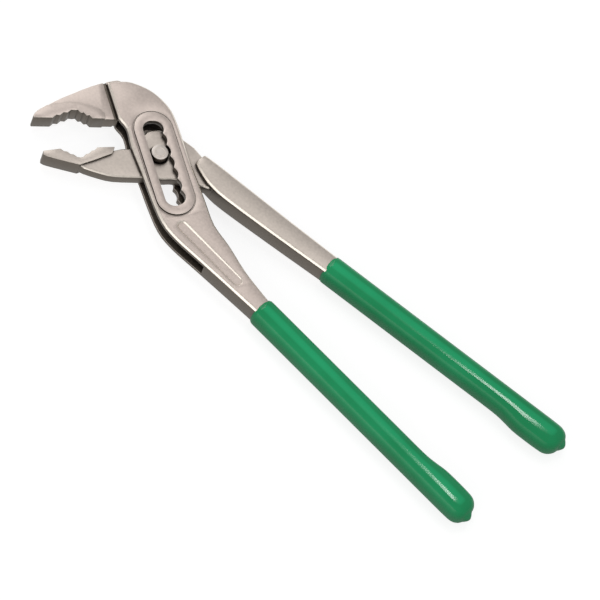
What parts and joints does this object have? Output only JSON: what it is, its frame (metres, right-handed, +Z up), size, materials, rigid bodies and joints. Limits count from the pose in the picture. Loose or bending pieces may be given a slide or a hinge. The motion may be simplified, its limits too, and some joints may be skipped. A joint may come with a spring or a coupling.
{
  "type": "slip joint pliers",
  "caption": "Long slip joint pliers with a box joint, a notched sliding pivot, angled toothed jaws and dipped green grips.",
  "frame": {"origin": "under the middle of the tool's bounding box at rest, on the surface that the tool lies on; the pin's axis stands at the hinge's pos_m", "axes": "+X from the jaws to the handle ends, +Y from the outer handle to the inner one, +Z up, along the pin"},
  "size_m": [0.2539, 0.0648, 0.0116],
  "materials": {
    "lever_steel": "satin nickel plate, finely ground flats",
    "pin_steel": "satin, turned end",
    "grip_green": "glossy dipped PVC"
  },
  "bodies": {
    "outer": {"outer_lever": "lever_steel", "outer_grip": "grip_green"},
    "pin": {"pivot_pin": "pin_steel"},
    "inner": {"inner_lever": "lever_steel", "inner_grip": "grip_green"}
  },
  "joints": [
    {"name": "slot_slide", "type": "slide", "parent": "outer", "child": "pin", "axis": [0.8434, -0.5373, 0], "range_m": [-0.0108, 0.0216]},
    {"name": "lever_turn", "type": "hinge", "parent": "pin", "child": "inner", "pos_m": [-0.07874, 0.00459, 0.0058], "axis": [0, 0, 1], "range_deg": [-4.5, 40]}
  ]
}
